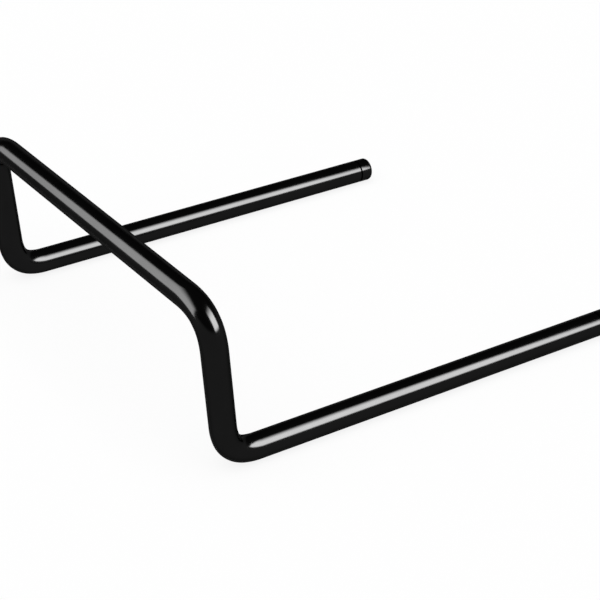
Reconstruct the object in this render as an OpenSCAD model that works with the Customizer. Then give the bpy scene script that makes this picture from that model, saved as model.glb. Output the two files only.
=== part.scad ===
// Razor stand: one length of steel tube, bent four times into a raised bar on two rails
// that lie on the counter, with a push-in plastic plug closing each cut end.
// Millimetres, +Z up. The rails run along Y, with their plugged ends at +Y, and the bar
// runs along X. The origin is the middle of the footprint, on the counter.

/* [Stand] */
// Distance between the two rails, centre to centre
rail_spacing = 98; // [80:1:120]
// Height of the bar's top above the counter
bar_height = 42; // [36:0.5:60]
// Length of the stand, from the back of the bar to the ends of the plugs
stand_length = 114.7; // [90:0.1:150]
// Backward lean of the risers from upright, in degrees
riser_lean = 6; // [0:0.5:15]

/* [Tube] */
// Outside diameter
tube_d = 6; // [5:0.25:7]
// Wall thickness
tube_wall = 1; // [0.6:0.05:1.2]
// Radius of the bend at the foot of each riser, at the middle of the tube
foot_radius = 7.5; // [7:0.25:12]
// Radius of the bend at each end of the bar, at the middle of the tube
shoulder_radius = 8.5; // [7:0.25:12]
// How far a bend draws the wall in towards the middle of the tube
bend_draw = 0.03; // [0.01:0.01:0.1]
// Chamfer round the outside edge of each cut end
cut_chamfer = 0.1; // [0.05:0.05:0.4]

/* [Plug] */
// Length of the head that shows past the tube
head_length = 3.8; // [2:0.1:6]
// Width of the seam that the head's neck leaves round the tube's end
seam_width = 0.4; // [0.1:0.05:0.8]
// Depth of the seam
seam_depth = 0.5; // [0.2:0.05:0.8]
// Rounding of the head's outer rim
rim_radius = 0.8; // [0.2:0.05:1.2]
// Length of the shank inside the tube
shank_length = 9; // [6:0.5:14]
// Length of the bare lead-in at the shank's tip
lead_length = 1; // [0.5:0.25:2]
// Number of ribs along the shank
rib_count = 4; // [2:1:6]
// Height of each rib above the shank
rib_height = 0.4; // [0.2:0.05:0.6]
// Radial gap between the ribs and the bore
rib_gap = 0.02; // [0.01:0.01:0.1]
// Wall of the hollow shank
shank_wall = 0.8; // [0.5:0.05:1.2]

/* [Hidden] */
$fn = 96;

tube_r = tube_d / 2;
bore_r = tube_r - tube_wall;

// The bent centreline: where its straight runs would meet, and what each bend takes off them.
foot_turn = 90 - riser_lean;
shoulder_turn = 90;
bend_bite = 0.1;
foot_setback = foot_radius * tan(foot_turn / 2);
shoulder_setback = shoulder_radius * tan(shoulder_turn / 2);
bar_rise = bar_height - tube_d;
bar_overhang = bar_rise * tan(riser_lean);
rail_reach = stand_length - tube_r - bar_overhang - head_length;

rail_run = rail_reach - foot_setback;
riser_run = bar_rise / cos(riser_lean) - foot_setback - shoulder_setback;
bar_run = rail_spacing - 2 * shoulder_setback;

tube_end_y = stand_length / 2 - head_length;

rib_r = bore_r - rib_gap;
shank_r = rib_r - rib_height;
rib_pitch = (shank_length - lead_length) / rib_count;

module tube_section(draw = 0) {
  difference() {
    circle(tube_r - draw);
    circle(bore_r - draw);
  }
}

// A straight run of tube along +Z. The children carry on from its far end.
module straight(length) {
  linear_extrude(length) tube_section();
  translate([0, 0, length]) children();
}

// A bend from +Z towards +X, its wall drawn in, which bites a little way into the next run.
// The children carry on from its far end.
module bend(angle, radius) {
  translate([radius, 0, 0]) {
    rotate([90, 0, 180]) rotate_extrude(angle = angle + bend_bite)
      translate([radius, 0]) tube_section(bend_draw);
    rotate([0, angle, 0]) translate([-radius, 0, 0]) children();
  }
}

// The chamfered lip of a square cut, along +Z.
module cut_end() {
  difference() {
    cylinder(h = cut_chamfer, r1 = tube_r, r2 = tube_r - cut_chamfer);
    cylinder(h = cut_chamfer, r = bore_r);
  }
}

// The tube in the order that it is bent: right rail, riser, bar, riser, left rail.
module bent_tube() {
  plain_rail_run = rail_run - cut_chamfer;
  color("#101011")
    translate([rail_spacing / 2, tube_end_y - cut_chamfer, tube_r]) rotate([90, 0, 0]) rotate(90) {
      mirror([0, 0, 1]) cut_end();
      straight(plain_rail_run) bend(foot_turn, foot_radius)
        straight(riser_run) rotate(90) bend(shoulder_turn, shoulder_radius)
        straight(bar_run) bend(shoulder_turn, shoulder_radius)
        straight(riser_run) rotate(-90) bend(foot_turn, foot_radius)
        straight(plain_rail_run) cut_end();
    }
}

// Half outline of the head: neck seated on the tube at y = 0, rounded rim at the far end.
module head_outline() {
  polygon([
    [0, 0],
    [tube_r - seam_depth, 0],
    [tube_r - seam_depth, seam_width],
    [tube_r, seam_width],
    [tube_r, head_length - rim_radius],
    [tube_r - rim_radius, head_length],
    [0, head_length]
  ]);
  translate([tube_r - rim_radius, head_length - rim_radius]) circle(rim_radius);
}

// Barbed shank along -Z: each rib slopes up from the tip's side and ends in a square step.
module shank() {
  translate([0, 0, -shank_length]) cylinder(h = shank_length, r = shank_r);
  for (i = [1 : rib_count])
    translate([0, 0, -i * rib_pitch]) cylinder(h = rib_pitch / 2, r1 = shank_r, r2 = rib_r);
}

// A plug along +Z, seated on the tube's end at the origin.
module end_plug() {
  color("#0b0b0c")
    difference() {
      union() {
        rotate_extrude() head_outline();
        shank();
      }
      translate([0, 0, -shank_length]) cylinder(h = shank_length, r = shank_r - shank_wall);
    }
}

module at_rail_end(side) {
  translate([side * rail_spacing / 2, tube_end_y, tube_r]) rotate([-90, 0, 0]) children();
}

bent_tube();
at_rail_end(-1) end_plug();  // left_end_plug
at_rail_end(1) end_plug();  // right_end_plug
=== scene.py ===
# Razor stand, dressed over its CAD frame: one bent steel tube in gloss black lacquer, with a
# moulded plug in each end, on a white counter. Metres, +Z up, rails along Y, bar along X.
import bmesh
import bpy
from math import cos, pi, radians, sin, tan
from mathutils import Matrix, Vector


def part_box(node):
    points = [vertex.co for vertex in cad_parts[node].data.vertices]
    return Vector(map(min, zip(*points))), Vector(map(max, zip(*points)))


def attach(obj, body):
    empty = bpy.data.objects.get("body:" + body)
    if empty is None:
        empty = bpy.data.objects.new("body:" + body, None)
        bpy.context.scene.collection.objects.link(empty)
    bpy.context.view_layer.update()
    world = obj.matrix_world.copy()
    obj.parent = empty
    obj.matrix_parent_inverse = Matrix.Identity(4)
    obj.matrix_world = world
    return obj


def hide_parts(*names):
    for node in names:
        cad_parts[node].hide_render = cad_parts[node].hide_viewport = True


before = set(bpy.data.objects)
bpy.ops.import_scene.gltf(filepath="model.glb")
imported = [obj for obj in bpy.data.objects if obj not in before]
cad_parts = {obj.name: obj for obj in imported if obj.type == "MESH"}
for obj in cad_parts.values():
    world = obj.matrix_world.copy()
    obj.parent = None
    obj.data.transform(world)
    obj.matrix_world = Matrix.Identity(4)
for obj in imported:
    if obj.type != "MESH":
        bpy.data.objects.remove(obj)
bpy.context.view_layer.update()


# Bent tube
# One length of 6 mm drawn steel tube, bent four times into rail, riser, bar, riser and rail. The
# risers lean back a little, and both ends are cut square and deburred.
mm = 0.001
tube_r = 3 * mm
bore_r = 2 * mm
cut_chamfer = 0.1 * mm
riser_lean = radians(6)
foot_radius = 6.6 * mm
shoulder_radius = 7.4 * mm
foot_turn = radians(90) - riser_lean
shoulder_turn = radians(90)
ease = radians(15)
ease_steps = 10
bend_steps = 24
tube_sides = 96
same_spot = 0.001 * mm
sharp_crease = radians(30)
drawing_step = 0.05 * mm


def corners(node):
    """A node's lowest and highest corners, to the drawing's step, because its mesh is faceted."""
    return [[round(c / drawing_step) * drawing_step for c in corner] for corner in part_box(node)]


# Where the straight runs of the right half would meet, from the corners of the CAD tube.
(_, tube_back, _), (tube_right, rail_end_y, tube_top) = corners("bent_tube")
rail_x = tube_right - tube_r
bar_y = tube_back + tube_r
bar_z = tube_top - tube_r
rail_end = Vector((rail_x, rail_end_y, tube_r))
foot = Vector((rail_x, bar_y + (bar_z - tube_r) * tan(riser_lean), tube_r))
shoulder = Vector((rail_x, bar_y, bar_z))
upward = Vector((0, 0, 1))
along_rail = Vector((0, -1, 0))
up_riser = Vector((0, -sin(riser_lean), cos(riser_lean)))
along_bar = Vector((-1, 0, 0))


def setback(radius, turn):
    """How far from the corner of two straight runs an eased bend starts and ends."""
    sideways = radius * (2 - cos(ease) + cos(turn - ease) - 2 * cos(turn))
    return sideways / sin(turn)


foot_setback = setback(foot_radius, foot_turn)
shoulder_setback = setback(shoulder_radius, shoulder_turn)
rail_run = rail_end_y - foot.y - foot_setback - cut_chamfer
riser_run = (shoulder - foot).length - foot_setback - shoulder_setback
half_bar_run = rail_x - shoulder_setback


def open_end(grown):
    """The two rings that a run or a bend ends in: their verts, and the edges round them."""
    verts = [g for g in grown if isinstance(g, bmesh.types.BMVert)]
    ringed = set(verts)
    edges = [g for g in grown if isinstance(g, bmesh.types.BMEdge)]
    return verts, [e for e in edges if ringed.issuperset(e.verts)]


def run_straight(bm, rings, step):
    """Draws the open rings out along a straight run, and gives the rings that it ends in."""
    verts, rings = open_end(bmesh.ops.extrude_edge_only(bm, edges=rings)["geom"])
    bmesh.ops.translate(bm, verts=verts, vec=step)
    return verts, rings


def bend_round(bm, verts, rings, heading, inward, radius, turn):
    """A bend that eases in and out over an arc of twice its radius, as tube does round a former."""
    axis = heading.cross(inward)
    ease_arc = (2 * radius, ease, ease_steps)
    full_arc = (radius, turn - 2 * ease, bend_steps)
    for arc_radius, arc_turn, steps in (ease_arc, full_arc, ease_arc):
        middle = sum((v.co for v in verts), Vector()) / len(verts)
        spun = bmesh.ops.spin(bm, geom=rings, cent=middle + inward * arc_radius, axis=axis,
                              dvec=(0, 0, 0), angle=arc_turn, steps=steps, use_merge=False,
                              use_duplicate=False)
        verts, rings = open_end(spun["geom_last"])
        inward = Matrix.Rotation(arc_turn, 3, axis) @ inward
    return verts, rings


# The right half, from its cut end to the middle of the bar: the outside and the bore together.
tube = bmesh.new()
across_rail = Matrix.Translation(rail_end) @ Matrix.Rotation(radians(90), 4, "X")
for ring_r in (tube_r - cut_chamfer, bore_r):
    bmesh.ops.create_circle(tube, segments=tube_sides, radius=ring_r, matrix=across_rail)
rings = tube.edges[:]
bmesh.ops.bridge_loops(tube, edges=rings)
verts, rings = run_straight(tube, rings, along_rail * cut_chamfer)
lip = [v for v in verts if (v.co - rail_end).length > (bore_r + tube_r) / 2]
bmesh.ops.scale(tube, verts=lip, vec=Vector((1, 1, 1)) * tube_r / (tube_r - cut_chamfer),
                space=Matrix.Translation(-rail_end - along_rail * cut_chamfer))
verts, rings = run_straight(tube, rings, along_rail * rail_run)
verts, rings = bend_round(tube, verts, rings, along_rail, upward, foot_radius, foot_turn)
verts, rings = run_straight(tube, rings, up_riser * riser_run)
verts, rings = bend_round(tube, verts, rings, up_riser, along_bar, shoulder_radius, shoulder_turn)
run_straight(tube, rings, along_bar * half_bar_run)

# The left half is the right half's mirror image, and the two join in the middle of the bar.
bmesh.ops.mirror(tube, geom=tube.verts[:] + tube.edges[:] + tube.faces[:], axis="X",
                 merge_dist=same_spot)
bmesh.ops.remove_doubles(tube, verts=tube.verts, dist=same_spot)
bmesh.ops.recalc_face_normals(tube, faces=tube.faces)


def make_piece(name, bm):
    """Makes a finished bmesh an object at the origin, smooth but for its sharp creases."""
    mesh = bpy.data.meshes.new(name)
    bm.to_mesh(mesh)
    bm.free()
    mesh.shade_smooth()
    mesh.set_sharp_from_angle(angle=sharp_crease)
    piece = bpy.data.objects.new(name, mesh)
    bpy.context.scene.collection.objects.link(piece)
    return piece


def linear(hex_colour):
    """An sRGB hex colour as linear red, green, blue and alpha."""
    parts = [int(hex_colour[i:i + 2], 16) / 255 for i in (1, 3, 5)]
    return [p / 12.92 if p <= 0.04045 else ((p + 0.055) / 1.055) ** 2.4 for p in parts] + [1]


def bare_tree(owner):
    """The node tree of a material, lamp or world, emptied."""
    owner.use_nodes = True
    owner.node_tree.nodes.clear()
    return owner.node_tree


def put(tree, kind, inputs=(), **settings):
    """Adds a node with its settings; an input is a value, or another node's output to link."""
    node = tree.nodes.new(kind)
    for name, value in settings.items():
        setattr(node, name, value)
    for name, value in dict(inputs).items():
        if isinstance(value, bpy.types.NodeSocket):
            tree.links.new(value, node.inputs[name])
        else:
            node.inputs[name].default_value = value
    return node


# What most of a noise's values lie between, the roughness of the black where it is clearest and
# where it is haziest, and where its mirror dulls, from 0, face on, to 1, edge on.
noise_low = 0.3
noise_high = 0.7
clear_rough = 0.1
hazy_rough = 0.14
dull_start = 0.55
dull_end = 0.75


def black_mirror(tree, mottle, gloss, relief):
    """A faintly mottled black that mirrors as a dark metal does, and dulls where it is seen
    nearly edge on. A plain gloss would show a bright line along each edge over a white counter."""
    shade = put(tree, "ShaderNodeMapRange", {
        "Value": mottle, "From Min": noise_low, "From Max": noise_high,
        "To Min": linear("#171717")[0], "To Max": linear("#191919")[0]})
    edge_on = put(tree, "ShaderNodeLayerWeight", {"Blend": 0.5})
    mirror = put(tree, "ShaderNodeMapRange", {
        "Value": edge_on.outputs["Facing"], "From Min": dull_start, "From Max": dull_end,
        "To Min": 1.0, "To Max": 0.0})
    black = put(tree, "ShaderNodeBsdfPrincipled", {
        "Base Color": shade.outputs["Result"], "Metallic": mirror.outputs["Result"],
        "Specular IOR Level": 0.0, "Specular Tint": linear("#bababa"),
        "Roughness": gloss, "Normal": relief})
    put(tree, "ShaderNodeOutputMaterial", {"Surface": black.outputs["BSDF"]})


# Stoved black lacquer, sprayed over the smooth drawn steel: a deep black mirror with a faint
# orange peel, a little haze, and a rubbed band where razors lie and where the rails slide.
peel_size = 1.4 * mm
peel_depth = 0.006 * mm
haze_size = 9 * mm
scuff_size = 0.6 * mm
scuff_low = 0.4
scuff_rough = 0.08
bar_rub = 0.5 * mm
rail_rub = 0.3 * mm
lacquer = bpy.data.materials.new("stoved_black_lacquer")
tree = bare_tree(lacquer)
place = put(tree, "ShaderNodeTexCoord").outputs["Object"]
peel = put(tree, "ShaderNodeTexNoise", {"Vector": place, "Scale": 1 / peel_size, "Detail": 2.0})
peel_relief = put(tree, "ShaderNodeBump", {
    "Height": peel.outputs["Fac"], "Strength": 1.0, "Distance": peel_depth})
haze = put(tree, "ShaderNodeTexNoise", {"Vector": place, "Scale": 1 / haze_size, "Detail": 4.0})
haze_gloss = put(tree, "ShaderNodeMapRange", {
    "Value": haze.outputs["Fac"], "From Min": noise_low, "From Max": noise_high,
    "To Min": clear_rough, "To Max": hazy_rough})
# The rubbed bands: the very top of the bar and the very bottom of the rails, broken up by scuffs.
height = put(tree, "ShaderNodeSeparateXYZ", {"Vector": place}).outputs["Z"]
bar_band = put(tree, "ShaderNodeMapRange", {
    "Value": height, "From Min": tube_top - bar_rub, "From Max": tube_top},
    interpolation_type="SMOOTHSTEP")
rail_band = put(tree, "ShaderNodeMapRange", {
    "Value": height, "From Min": rail_rub, "From Max": 0.0}, interpolation_type="SMOOTHSTEP")
rubbed = put(tree, "ShaderNodeMath", {
    0: bar_band.outputs["Result"], 1: rail_band.outputs["Result"]}, operation="MAXIMUM")
scuff = put(tree, "ShaderNodeTexNoise", {"Vector": place, "Scale": 1 / scuff_size, "Detail": 3.0})
scuffed = put(tree, "ShaderNodeMapRange", {
    "Value": scuff.outputs["Fac"], "From Min": scuff_low, "From Max": noise_high,
    "To Min": 0.0, "To Max": scuff_rough})
gloss = put(tree, "ShaderNodeMath", {
    0: rubbed.outputs[0], 1: scuffed.outputs["Result"], 2: haze_gloss.outputs["Result"]},
    operation="MULTIPLY_ADD")
black_mirror(tree, haze.outputs["Fac"], gloss.outputs[0], peel_relief.outputs["Normal"])

tube_piece = make_piece("bent_tube_lacquered", tube)
tube_piece.data.materials.append(lacquer)
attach(tube_piece, "root")
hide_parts("bent_tube")


# End plugs
# A moulded plug pushed into each cut end: a head as wide as the tube, with a rounded rim, and a
# hollow barbed shank that grips the bore. The head's narrow neck leaves a fine dark seam.
(_, plug_back, _), (_, plug_front, _) = corners("right_end_plug")
head_length = plug_front - rail_end_y
shank_length = rail_end_y - plug_back
seam_width = 0.4 * mm
seam_depth = 0.5 * mm
neck_r = tube_r - seam_depth
rim_radius = 0.8 * mm
rim_steps = 10
rib_gap = 0.02 * mm
rib_height = 0.4 * mm
shank_wall = 0.8 * mm
lead_length = 1 * mm
rib_count = 4
rib_r = bore_r - rib_gap
shank_r = rib_r - rib_height
core_r = shank_r - shank_wall
rib_pitch = (shank_length - lead_length) / rib_count

# Half its outline, as radius and height, from the middle of the end face to the hollow's floor.
outline = [(0, head_length), (tube_r, head_length), (tube_r, seam_width)]
outline += [(neck_r, seam_width), (neck_r, 0), (shank_r, 0)]
for i in range(1, rib_count + 1):
    step = (0.5 - i) * rib_pitch
    outline += [(shank_r, step), (rib_r, step), (shank_r, -i * rib_pitch)]
outline += [(shank_r, -shank_length), (core_r, -shank_length), (core_r, 0), (0, 0)]

# Nylon, moulded in a polished tool: black right through, as clear a mirror as the lacquer but
# with no orange peel. The tool's polish shows as a fine shallow ripple.
ripple_size = 0.5 * mm
ripple_depth = 0.001 * mm
nylon = bpy.data.materials.new("moulded_black_nylon")
tree = bare_tree(nylon)
place = put(tree, "ShaderNodeTexCoord").outputs["Object"]
ripple = put(tree, "ShaderNodeTexNoise", {"Vector": place, "Scale": 1 / ripple_size, "Detail": 3.0})
ripple_relief = put(tree, "ShaderNodeBump", {
    "Height": ripple.outputs["Fac"], "Strength": 1.0, "Distance": ripple_depth})
ripple_gloss = put(tree, "ShaderNodeMapRange", {
    "Value": ripple.outputs["Fac"], "From Min": noise_low, "From Max": noise_high,
    "To Min": clear_rough, "To Max": hazy_rough})
black_mirror(tree, ripple.outputs["Fac"], ripple_gloss.outputs["Result"], ripple_relief.outputs["Normal"])

for side, node in ((-1, "left_end_plug"), (1, "right_end_plug")):
    plug = bmesh.new()
    points = [plug.verts.new((radius, 0, height)) for radius, height in outline]
    profile = [plug.edges.new(ends) for ends in zip(points, points[1:])]
    bmesh.ops.spin(plug, geom=points + profile, cent=(0, 0, 0), axis=(0, 0, 1), dvec=(0, 0, 0),
                   angle=2 * pi, steps=tube_sides, use_merge=True, use_duplicate=False)
    bmesh.ops.remove_doubles(plug, verts=plug.verts, dist=same_spot)
    bmesh.ops.recalc_face_normals(plug, faces=plug.faces)
    on_rim = {v for v in plug.verts
              if v.co.z > head_length - same_spot and v.co.xy.length > tube_r - same_spot}
    rim = [e for e in plug.edges if on_rim.issuperset(e.verts)]
    bmesh.ops.bevel(plug, geom=rim, offset=rim_radius, offset_type="OFFSET", affect="EDGES",
                    segments=rim_steps, profile=0.5, material=-1, clamp_overlap=True)
    seat = Matrix.Translation((side * rail_x, rail_end_y, tube_r))
    bmesh.ops.transform(plug, verts=plug.verts, matrix=seat @ Matrix.Rotation(radians(-90), 4, "X"))
    plug_piece = make_piece(node + "_moulded", plug)
    plug_piece.data.materials.append(nylon)
    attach(plug_piece, "root")
    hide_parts(node)


# Counter
# A plain matt white laminate counter, wide enough to fill any view. It shows near white to the
# camera and in the lacquer, and keeps the stand's soft shadow.
counter_reach = 8
glow_share = 0.86
counter = bmesh.new()
bmesh.ops.create_grid(counter, x_segments=1, y_segments=1, size=counter_reach)
white = bpy.data.materials.new("matt_white_laminate")
tree = bare_tree(white)
ray = put(tree, "ShaderNodeLightPath").outputs
seen = ray["Is Camera Ray"]
for kind in ("Is Glossy Ray", "Is Transmission Ray"):
    seen = put(tree, "ShaderNodeMath", {0: seen, 1: ray[kind]}, operation="MAXIMUM").outputs[0]
share = put(tree, "ShaderNodeMath", {0: seen, 1: glow_share}, operation="MULTIPLY")
matt = put(tree, "ShaderNodeBsdfDiffuse", {"Color": linear("#f2f2f2")})
glow = put(tree, "ShaderNodeEmission", {"Color": linear("#ffffff"), "Strength": 1.0})
both = put(tree, "ShaderNodeMixShader", {
    0: share.outputs[0], 1: matt.outputs["BSDF"], 2: glow.outputs["Emission"]})
put(tree, "ShaderNodeOutputMaterial", {"Surface": both.outputs["Shader"]})
counter_piece = make_piece("counter", counter)
counter_piece.data.materials.append(white)


# Light
# Two soft boxes show as the bright strips along the tube, and a wide soft light from above gives
# every colour its plain level. The room has pale walls low down and a dim ceiling.
def soft_box(name, centre, aim, width, height, roll, radiance, fades):
    """A soft box that shows in reflections alone. Its light dies away towards its edges: fades are
    the shares of it that this takes from the left, right, bottom and top."""
    box_light = bpy.data.lights.new(name, "AREA")
    box_light.shape = "RECTANGLE"
    box_light.size = width
    box_light.size_y = height
    # A lamp's power is its radiance times its area times pi.
    box_light.energy = radiance * width * height * pi
    tree = bare_tree(box_light)
    across = put(tree, "ShaderNodeNewGeometry").outputs["Parametric"]
    across = put(tree, "ShaderNodeSeparateXYZ", {"Vector": across}).outputs
    left, right, bottom, top = fades
    level = 1.0
    for way, edge, full in (("X", 0, left), ("X", 1, 1 - right), ("Y", 0, bottom), ("Y", 1, 1 - top)):
        ramp = put(tree, "ShaderNodeMapRange", {
            "Value": across[way], "From Min": edge, "From Max": full}, interpolation_type="SMOOTHSTEP")
        level = put(tree, "ShaderNodeMath", {0: ramp.outputs["Result"], 1: level},
                    operation="MULTIPLY").outputs[0]
    cloth = put(tree, "ShaderNodeEmission", {"Strength": level})
    put(tree, "ShaderNodeOutputLight", {"Surface": cloth.outputs["Emission"]})
    box = bpy.data.objects.new(name, box_light)
    facing = (Vector(aim) - Vector(centre)).to_track_quat("-Z", "Y").to_matrix().to_4x4()
    box.matrix_world = Matrix.Translation(centre) @ facing @ Matrix.Rotation(roll, 4, "Z")
    box.visible_diffuse = False
    box.visible_camera = False
    bpy.context.scene.collection.objects.link(box)


soft_box("soft_box_right", centre=(0.3629, 0.1887, 0.3684), aim=(-0.0186, -0.0303, 0.0434),
         width=0.511, height=0.5549, roll=radians(-1.4), radiance=64, fades=(0.2, 0.2, 0.18, 0.52))
soft_box("soft_box_left", centre=(-0.2983, -0.4817, 0.3315), aim=(0.0153, -0.0109, 0.048),
         width=0.775, height=0.7034, roll=radians(-11.3), radiance=26.2, fades=(0.1, 0.1, 0.09, 0.54))

above_light = bpy.data.lights.new("soft_light_above", "SUN")
above_light.energy = 2.95
above_light.angle = radians(80)
above = bpy.data.objects.new("soft_light_above", above_light)
above.rotation_euler = (radians(20), radians(15), 0)
above.visible_glossy = False
bpy.context.scene.collection.objects.link(above)

# Heights in the room are sines of the angle above level.
wall_top = 0.1
wall_level = 0.985
ceiling_start = 0.35
ceiling_level = 0.19
room = bpy.data.worlds.new("room")
tree = bare_tree(room)
outward = put(tree, "ShaderNodeTexCoord").outputs["Generated"]
rise = put(tree, "ShaderNodeSeparateXYZ", {"Vector": outward}).outputs["Z"]
level = put(tree, "ShaderNodeMapRange", {
    "Value": rise, "From Min": wall_top, "From Max": ceiling_start,
    "To Min": wall_level, "To Max": ceiling_level}, interpolation_type="SMOOTHSTEP")
walls = put(tree, "ShaderNodeBackground", {"Color": level.outputs["Result"], "Strength": 1.0})
put(tree, "ShaderNodeOutputWorld", {"Surface": walls.outputs["Background"]})
bpy.context.scene.world = room


# Camera
# The photograph's view, from the right and a little above, across the bar to the far rail's tip.
camera_lens = bpy.data.cameras.new("camera")
camera_lens.sensor_width = 36
camera_lens.lens = 115.1
camera_lens.clip_start = 0.01
camera_lens.clip_end = 30
camera = bpy.data.objects.new("camera", camera_lens)
camera.location = (0.333468, -0.23104, 0.233255)
camera.rotation_euler = (radians(60.3335), radians(-1.225), radians(55.7764))
bpy.context.scene.collection.objects.link(camera)
bpy.context.scene.camera = camera
bpy.context.scene.view_settings.view_transform = "Standard"
